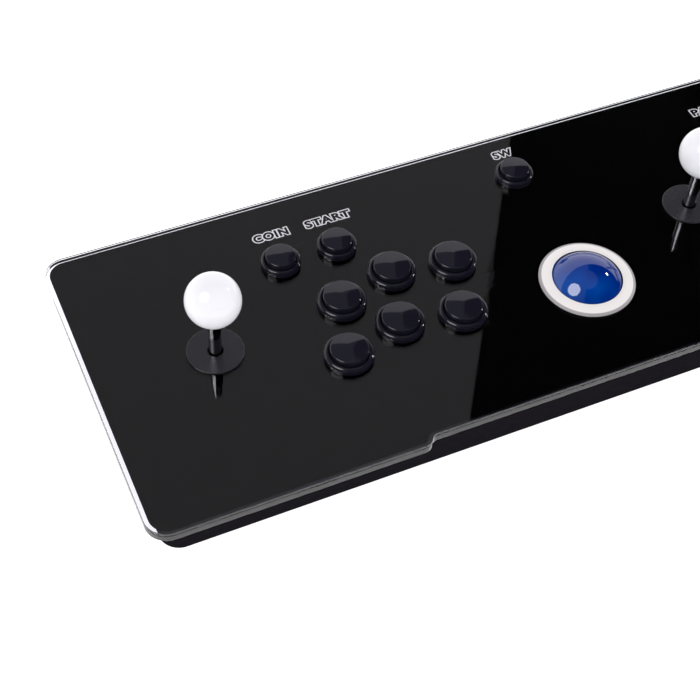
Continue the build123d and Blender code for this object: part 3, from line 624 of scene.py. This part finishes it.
# %% [markdown]
# The three sheets really touch. Rays can't tell which of two faces in one plane comes first, so
# a gap of a few hundredths of a millimetre is left between them, as trapped air would.

# %% Stack the sheets
AIR = 0.02
POLISH = 0.35                    # radius of the flame-polished edges
plate("cover_acrylic", 0.0, film_high[2], top_z, POLISH, holes, "clear_acrylic", ["cover_sheet"])
plate("artwork_sheet", film_low[0] - panel_low[0], film_low[2] + AIR, film_high[2] - 3 * AIR, 0.0,
      holes, "black_film", ["artwork_film"])
plate("light_plate_acrylic", 0.0, plate_low[2] + AIR, plate_high[2], POLISH, holes,
      "clear_acrylic", ["light_plate"])

# %% [markdown]
# ## Push buttons
# The body is one moulding: a full round rim on a threaded barrel with a bore for the plunger. The
# plunger's top is slightly crowned, which is why the far half of every button catches the bright
# band behind the table while the near half looks up into the dark.

# %% Turn bodies and plungers
CROWN_ANGLE = 7.5                # slope of the crown at its edge, degrees
EDGE_ROUND = 0.9
SKIRT = 11.0                     # height of the plunger's cap
BORE_GAP = 0.3
STEM_RADIUS, STEM_BORE = 2.0, 2.4
BARREL_FLOOR = 2.5
CREST_INSIDE, CREST_OUTSIDE = 0.34, 0.64         # rim rounds as shares of the rim's width


def button_bodies(name, names, hole_radius, node):
    """The rim's outer radius comes from the node's box, its bore from the plunger's box."""
    low, high = span(node)
    rim_top = high[2]
    rim = min(button_places[n][0] for n in names) - low[0]
    plunger_low, plunger_high = span(f"{names[0]}_plunger")
    bore = (plunger_high[0] - plunger_low[0]) / 2 + BORE_GAP
    barrel, floor_z = hole_radius - HOLE_GAP, low[2] + BARREL_FLOOR
    crest = rim - bore
    corners = [(bore, rim_top), (bore, floor_z), (STEM_BORE, floor_z), (STEM_BORE, low[2]),
               (barrel, low[2]), (barrel, top_z), (rim, top_z), (rim, rim_top)]
    radii = [crest * CREST_INSIDE, 0.5, 0, 0, 0.6, 0, 0.25, crest * CREST_OUTSIDE]
    profile = rounded_path(corners, radii, step=12.0)
    points, faces = lathe(profile, [(*button_places[n], 0.0) for n in names], closed=True)
    return piece(name, points, faces, "console", "gloss_black_plastic", [node])


def plunger(name):
    """Crowned cap, a skirt and a stem. The crown's slope grows as sqrt(r / R), so its height is
    z = top - 2/3 slope R (r / R)^1.5, and a quarter arc of EDGE_ROUND ends it."""
    low, high = span(f"{name}_plunger")
    radius = (high[0] - low[0]) / 2
    slope = math.radians(CROWN_ANGLE)
    flat = radius - EDGE_ROUND
    out = np.linspace(0, flat, 28)
    crown = np.stack([out, high[2] - 2 / 3 * slope * radius * (out / radius) ** 1.5], 1)
    turn = np.linspace(slope, math.pi / 2, 9)[1:]
    centre_z = crown[-1, 1] - EDGE_ROUND * math.cos(slope)
    arc = np.stack([flat + EDGE_ROUND * np.sin(turn), centre_z + EDGE_ROUND * np.cos(turn)], 1)
    skirt_z = high[2] - SKIRT
    corners = [(radius, centre_z), (radius, skirt_z), (STEM_RADIUS, skirt_z),
               (STEM_RADIUS, low[2]), (0, low[2])]
    skirt = rounded_path(corners, [0, 0.3, 0, 0.3, 0], closed=False, step=15.0)
    points, faces = lathe(np.concatenate([crown, arc, skirt[1:]]), [(*button_places[name], 0.0)],
                          segments=128)
    return piece(f"{name}_cap", points, faces, f"{name}_button", "gloss_black_plastic",
                 [f"{name}_plunger"])


button_bodies("action_button_rims", action_names, ACTION_HOLE, "action_button_bodies")
button_bodies("small_button_rims", small_names, SMALL_HOLE, "small_button_bodies")
for name in button_places:
    plunger(name)

# %% [markdown]
# ## Sticks
# A white ball screws onto a dark steel shaft. Where the shaft passes the panel, a loose plastic
# washer lies on the acrylic and slides with it to keep dust out.

# %% Ball tops and washers
SCREW_RADIUS, SCREW_DEPTH, SCREW_BEVEL = 3.05, 11.5, 0.2
WASHER_BORE = 5.15


def ball_top(player):
    """A sphere cut flat below, with the blind hole for the shaft: r = R sin(a), z = -R cos(a)."""
    low, high = span(f"{player}_ball_top")
    radius = (high[0] - low[0]) / 2
    centre = high[2] - radius
    flat = math.acos((centre - low[2]) / radius)
    angle = np.linspace(flat, math.pi, 72)
    outside = np.stack([radius * np.sin(angle), centre - radius * np.cos(angle)], 1)
    outside[-1, 0] = 0.0
    hole = np.array([(0, low[2] + SCREW_DEPTH), (SCREW_RADIUS, low[2] + SCREW_DEPTH),
                     (SCREW_RADIUS, low[2] + SCREW_BEVEL), (3.3, low[2])])
    points, faces = lathe(np.concatenate([hole, outside]), [(*stick_places[player], 0.0)],
                          segments=128)
    ball = piece(f"{player}_ball", points, faces, f"{player}_stick", "white_plastic",
                 [f"{player}_ball_top"])
    ball.visible_glossy = False          # no mirror image on the panel
    ball.visible_transmission = False    # nor below its clear cover
    return ball


def dust_washer(player):
    low, high = span(f"{player}_dust_washer")
    radius = (high[0] - low[0]) / 2
    corners = [(WASHER_BORE, low[2]), (radius, low[2]), (radius, high[2]), (WASHER_BORE, high[2])]
    profile = rounded_path(corners, [0.1, 0.2, 0.45, 0.2], step=15.0)
    points, faces = lathe(profile, [(*stick_places[player], 0.0)], segments=128, closed=True)
    return piece(f"{player}_washer_disc", points, faces, f"{player}_washer", "dark_grey_plastic",
                 [f"{player}_dust_washer"])


for player in players:
    ball_top(player)
    dust_washer(player)

# %% [markdown]
# ## The trackball and its ring
# The ball is a plain sphere of polished resin. Its ring has a low sloping face, a bevel round the
# outside and a mouth that follows the ball with a small gap. The bevel's shade is painted: the
# finish mixes a grey into the ring's colour past a distance from the ball's axis.

# %% Ball and ring
MOUTH_RADIUS, BALL_GAP = 23.6, 0.7
RING_FACE_INSET, SLEEVE_WALL = 2.4, 1.3
BEVEL_WIDTH, BEVEL_TOP, BEVEL_FOOT = 1.9, 1.45, 0.55
# grey painted on the ring's outer bevel as shade
BEVEL_PAINTED_SHADE = (0.36, 0.34, 0.35)


def track_ball():
    angle = np.linspace(0, math.pi, 90)
    profile = np.stack([ball_radius * np.sin(angle), ball_z - ball_radius * np.cos(angle)], 1)
    profile[[0, -1], 0] = 0.0
    points, faces = lathe(profile, [(0, ball_y, 0)], segments=160)
    return piece("blue_ball", points, faces, "ball", "blue_resin", ["trackball"])


def mouth_ring():
    """The inner wall is an arc about the ball's centre: r = sqrt(gap_radius^2 - (z - centre)^2)."""
    lip, bottom = ring_high[2], ring_low[2]
    gap_radius = ball_radius + BALL_GAP
    mouth_z = ball_z + math.sqrt(gap_radius ** 2 - MOUTH_RADIUS ** 2)
    height = np.linspace(bottom, mouth_z, 14)
    wall = np.stack([np.sqrt(gap_radius ** 2 - (height - ball_z) ** 2), height], 1)
    sleeve = wall[0, 0] + SLEEVE_WALL
    corners = [(MOUTH_RADIUS, lip), (MOUTH_RADIUS + RING_FACE_INSET, lip),
               (ring_radius - BEVEL_WIDTH, top_z + BEVEL_TOP), (ring_radius, top_z + BEVEL_FOOT),
               (ring_radius, top_z), (sleeve, top_z), (sleeve, bottom)]
    outside = rounded_path(corners, [0.35, 1.0, 0.35, 0.3, 0, 0, 0], step=12.0, closed=False)
    profile = np.concatenate([wall, outside])
    points, faces = lathe(profile, [(0, ball_y, 0)], segments=160, closed=True)
    return piece("ball_ring", points, faces, "console", "ivory_plastic", ["trackball_ring"])


def paint_bevel_shade(material):
    """Paints shade on the bevel: mixes a grey into the base colour where sqrt(x^2 + (y - ball_y)^2)
    passes the bevel.
    """
    tree = material.node_tree
    target = tree.nodes["Principled BSDF"].inputs["Base Color"]
    below = target.links[0].from_socket
    offset = tree.nodes.new("ShaderNodeVectorMath")
    offset.operation = "MULTIPLY_ADD"
    offset.inputs[1].default_value = (1, 1, 0)
    offset.inputs[2].default_value = (0, -ball_y * MM, 0)
    length = tree.nodes.new("ShaderNodeVectorMath")
    length.operation = "LENGTH"
    place = tree.nodes.new("ShaderNodeTexCoord").outputs["Object"]
    link_nodes(tree, (place, offset.inputs[0]), (offset.outputs["Vector"], length.inputs[0]))
    start = (ring_radius - BEVEL_WIDTH - 0.2) * MM
    mask = ramp_between(tree, length.outputs["Value"], start, start + 0.6 * MM)
    tree.links.new(mix_colour(tree, mask, below, BEVEL_PAINTED_SHADE), target)


# painted shade on the trackball ring's outer bevel
paint_bevel_shade(finishes["ivory_plastic"])
track_ball()
mouth_ring()

# %% [markdown]
# ## Lettering on the film
# The words over the small buttons are black letters with a wide white outline, printed on the
# film. Each word is drawn twice: a fat white copy, and a thinner black one a hair above it.
# Only plain words for what a button does are used.

# %% Print the words
LETTER_SIZE = 8.6
labels = [("COIN", "p1_coin", (3.6, 26.4), 26.4), ("START", "p1_start", (4.7, 26.4), 34.8),
          ("PAUSE", "p2_pause", (4.2, 26.4), 34.8), ("START", "p2_start", (4.8, 26.4), 34.8),
          ("SW", "menu", (3.0, 23.0), 17.0)]
INK = (("outline", 0.135, 2.6, 1.8, "label_white"), ("letter", 0.045, 1.7, 1.0, "black_film"))


def letters(word, boldness):
    """A word as a flat solid, in units of the letter size; a round bead of radius boldness along
    its outline makes it bolder without closing the letters up."""
    text = bpy.data.curves.new("word", "FONT")
    text.body = word
    text.size = 1.0
    text.align_x, text.align_y = "CENTER", "CENTER"
    text.bevel_depth = boldness
    text.bevel_resolution = 2
    text.space_character = 1.12
    holder = bpy.data.objects.new("word", text)
    bpy.context.scene.collection.objects.link(holder)
    bpy.context.view_layer.update()
    mesh = bpy.data.meshes.new_from_object(holder)
    bpy.data.objects.remove(holder)
    bpy.data.curves.remove(text)
    return mesh


def label(index, word, button, shift, width):
    """Both inks of a word; the outline's width in millimetres sets the stretch of both."""
    x, y = button_places[button] + np.array(shift)
    stretch = None
    for part, boldness, low, high, slot in INK:
        mesh = letters(word, boldness)
        spot = np.zeros(len(mesh.vertices) * 3)
        mesh.vertices.foreach_get("co", spot)
        reach = np.ptp(spot.reshape(-1, 3), axis=0)
        stretch = stretch or width * MM / reach[0]
        thickness = (low - high) * AIR * MM / reach[2]
        middle_z = (film_high[2] - (low + high) / 2 * AIR) * MM
        mesh.transform(Matrix.Translation((x * MM, y * MM, middle_z)) @
                       Matrix.Diagonal((stretch, LETTER_SIZE * MM, thickness, 1)))
        attach(f"label_{index}_{word.lower()}_{part}", mesh, "console", slot, [])


for index, row in enumerate(labels, start=1):
    label(index, *row)

# %% [markdown]
# ## Everything else
# The steel case, its feet and screws, the sockets and all the inner parts keep the frame's own
# shapes. Their loose triangles are welded in a copy so that curved walls shade smoothly.

# %% Weld and finish the remaining parts
bodies = frame["record"]["behaviour"]["bodies"]
node_body = {node: body for body, nodes in bodies.items() for node in nodes}
node_slot = {row["node"]: row["material_slot"] for row in frame["record"]["subparts"]}


def welded_copy(node):
    mesh = frame["nodes"][node].data.copy()
    shape = bmesh.new()
    shape.from_mesh(mesh)
    bmesh.ops.remove_doubles(shape, verts=shape.verts, dist=1e-6)
    shape.to_mesh(mesh)
    shape.free()
    attach(f"{node}_fine", mesh, node_body[node], node_slot[node], [node])


for node, part in sorted(frame["nodes"].items()):
    if not part.hide_render:
        welded_copy(node)
    part.data.materials.clear()
    part.data.materials.append(finishes[node_slot[node]])
